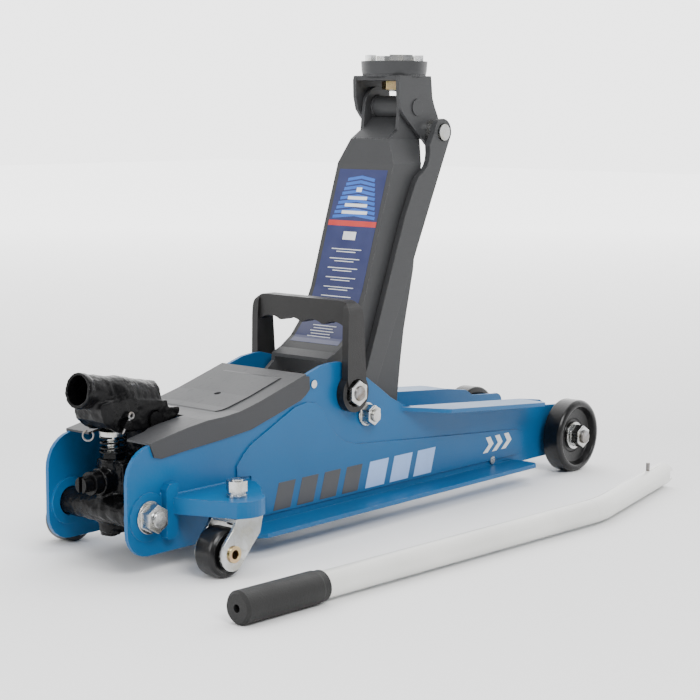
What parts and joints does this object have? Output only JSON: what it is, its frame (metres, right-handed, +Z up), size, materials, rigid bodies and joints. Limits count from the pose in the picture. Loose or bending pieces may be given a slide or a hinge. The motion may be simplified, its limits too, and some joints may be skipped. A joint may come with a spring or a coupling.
{
  "type": "car jack",
  "caption": "Low-entry hydraulic trolley jack with a short wheeled chassis, a raised lift arm with a cupped saddle, a carry handle and a loose bent pump handle.",
  "frame": {"origin": "on the floor under the middle of the bounding box, with the arm raised and the pump handle lying beside the chassis", "axes": "+X towards the fixed front wheels, +Y to the left side, +Z up"},
  "size_m": [0.5238, 0.2686, 0.3294],
  "materials": {
    "blue_paint": "semi-gloss powder coat",
    "grey_paint": "satin powder coat",
    "charcoal_paint": "satin powder coat",
    "black_cast": "black lacquer on a rough casting",
    "black_wheel": "black paint, worn on the tread",
    "black_plastic": "fine moulded grain",
    "black_rubber": "dull",
    "white_paint": "gloss powder coat",
    "zinc": "bright zinc plate",
    "yellow_zinc": "yellow passivated zinc",
    "bare_steel": "oiled turned steel"
  },
  "bodies": {
    "chassis": {"side_plate_right": "blue_paint", "side_plate_left": "blue_paint", "cover_plate": "grey_paint", "plate_rivets": "zinc", "cross_tie": "blue_paint", "rear_studs": "zinc", "rear_nuts": "zinc", "pump_body": "black_cast", "pump_gland": "black_cast", "ram_cylinder": "bare_steel", "reservoir_tank": "black_cast", "ram_gland": "bare_steel", "filler_plug": "black_plastic", "release_body": "black_cast", "socket_pin": "black_cast", "main_shaft": "bare_steel", "shaft_spacers": "bare_steel", "main_nuts": "zinc", "link_bolts": "zinc", "link_nuts": "zinc", "front_axle": "bare_steel", "axle_spacers": "bare_steel", "axle_washers": "zinc", "axle_nuts": "zinc", "caster_bracket_right": "blue_paint", "caster_bracket_left": "blue_paint", "swivel_bolts": "zinc", "swivel_nuts": "zinc"},
    "lift_arm": {"lift_arm": "charcoal_paint", "lever_pin": "bare_steel", "lever_roller": "bare_steel"},
    "link_right": {"link_bar_right": "charcoal_paint"},
    "link_left": {"link_bar_left": "charcoal_paint"},
    "saddle_head": {"saddle_bracket": "charcoal_paint", "saddle_cup": "charcoal_paint", "arm_pin": "charcoal_paint", "link_pins": "zinc"},
    "saddle": {"saddle": "zinc", "saddle_nut": "yellow_zinc"},
    "ram": {"ram_rod": "bare_steel", "ram_piston": "bare_steel", "ram_head": "bare_steel"},
    "handle_socket": {"handle_socket": "black_cast", "socket_roller": "black_cast", "split_pins": "bare_steel"},
    "plunger": {"plunger": "zinc", "plunger_spring": "black_cast"},
    "release_valve": {"release_knuckle": "black_cast"},
    "front_wheel_right": {"front_wheel_right": "black_wheel"},
    "front_wheel_left": {"front_wheel_left": "black_wheel"},
    "caster_fork_right": {"caster_fork_right": "zinc", "caster_rivet_right": "yellow_zinc"},
    "caster_fork_left": {"caster_fork_left": "zinc", "caster_rivet_left": "yellow_zinc"},
    "caster_wheel_right": {"caster_wheel_right": "black_wheel"},
    "caster_wheel_left": {"caster_wheel_left": "black_wheel"},
    "carry_handle": {"carry_handle": "black_plastic"},
    "pump_handle": {"handle_tube": "white_paint", "handle_grip": "black_rubber", "handle_pin": "bare_steel"}
  },
  "joints": [
    {"name": "lift", "type": "hinge", "parent": "chassis", "child": "lift_arm", "pos_m": [-0.02894, 0.04501, 0.094], "axis": [0, 1, 0], "range_deg": [0, 77.2]},
    {"name": "link_right_turn", "type": "hinge", "parent": "chassis", "child": "link_right", "pos_m": [-0.01044, 0.01541, 0.076], "axis": [0, 1, 0], "range_deg": [0, 77.2]},
    {"name": "link_left_turn", "type": "hinge", "parent": "chassis", "child": "link_left", "pos_m": [-0.01044, 0.07461, 0.076], "axis": [0, 1, 0], "range_deg": [0, 77.2]},
    {"name": "saddle_level", "type": "hinge", "parent": "lift_arm", "child": "saddle_head", "pos_m": [0.06556, 0.04501, 0.2915], "axis": [0, 1, 0], "range_deg": [-77.2, 0]},
    {"name": "saddle_turn", "type": "hinge", "parent": "saddle_head", "child": "saddle", "pos_m": [0.06556, 0.04501, 0.318], "axis": [0, 0, 1], "continuous": true},
    {"name": "ram_stroke", "type": "slide", "parent": "chassis", "child": "ram", "axis": [1, 0, 0], "range_m": [-0.0525, 0]},
    {"name": "handle_stroke", "type": "hinge", "parent": "chassis", "child": "handle_socket", "pos_m": [-0.19074, 0.04501, 0.093], "axis": [0, 1, 0], "range_deg": [-6, 35]},
    {"name": "plunger_stroke", "type": "slide", "parent": "chassis", "child": "plunger", "axis": [0, 0, 1], "range_m": [-0.0027, 0.0152], "stiffness_N_per_m": 1500, "springref_m": 0.0012, "deforming": ["plunger_spring"]},
    {"name": "release_turn", "type": "hinge", "parent": "chassis", "child": "release_valve", "pos_m": [-0.23844, 0.04501, 0.056], "axis": [1, 0, 0], "range_deg": [0, 180]},
    {"name": "front_wheel_right_roll", "type": "hinge", "parent": "chassis", "child": "front_wheel_right", "pos_m": [0.23286, -0.00699, 0.029], "axis": [0, 1, 0], "continuous": true},
    {"name": "front_wheel_left_roll", "type": "hinge", "parent": "chassis", "child": "front_wheel_left", "pos_m": [0.23286, 0.09701, 0.029], "axis": [0, 1, 0], "continuous": true},
    {"name": "caster_right_swivel", "type": "hinge", "parent": "chassis", "child": "caster_fork_right", "pos_m": [-0.17575, -0.02629, 0.036], "axis": [0, 0, 1], "continuous": true},
    {"name": "caster_left_swivel", "type": "hinge", "parent": "chassis", "child": "caster_fork_left", "pos_m": [-0.17575, 0.11631, 0.036], "axis": [0, 0, 1], "continuous": true},
    {"name": "caster_right_roll", "type": "hinge", "parent": "caster_fork_right", "child": "caster_wheel_right", "pos_m": [-0.19074, -0.02629, 0.016], "axis": [0, 1, 0], "continuous": true},
    {"name": "caster_left_roll", "type": "hinge", "parent": "caster_fork_left", "child": "caster_wheel_left", "pos_m": [-0.19074, 0.11631, 0.016], "axis": [0, 1, 0], "continuous": true},
    {"name": "carry_handle_swing", "type": "hinge", "parent": "chassis", "child": "carry_handle", "pos_m": [-0.02894, 0.04501, 0.094], "axis": [0, 1, 0], "range_deg": [-50, 12]},
    {"name": "pump_handle_lift", "type": "slide", "parent": "chassis", "child": "pump_handle", "axis": [0, 0, 1], "range_m": [0, 0.3]}
  ],
  "couplings": [
    {"joint": "link_right_turn", "follows": "lift", "ratio": 1},
    {"joint": "link_left_turn", "follows": "lift", "ratio": 1},
    {"joint": "saddle_level", "follows": "lift", "ratio": -1},
    {"joint": "ram_stroke", "follows": "lift", "m_per_rad": -0.03889},
    {"joint": "plunger_stroke", "follows": "handle_stroke", "m_per_rad": 0.0246}
  ]
}
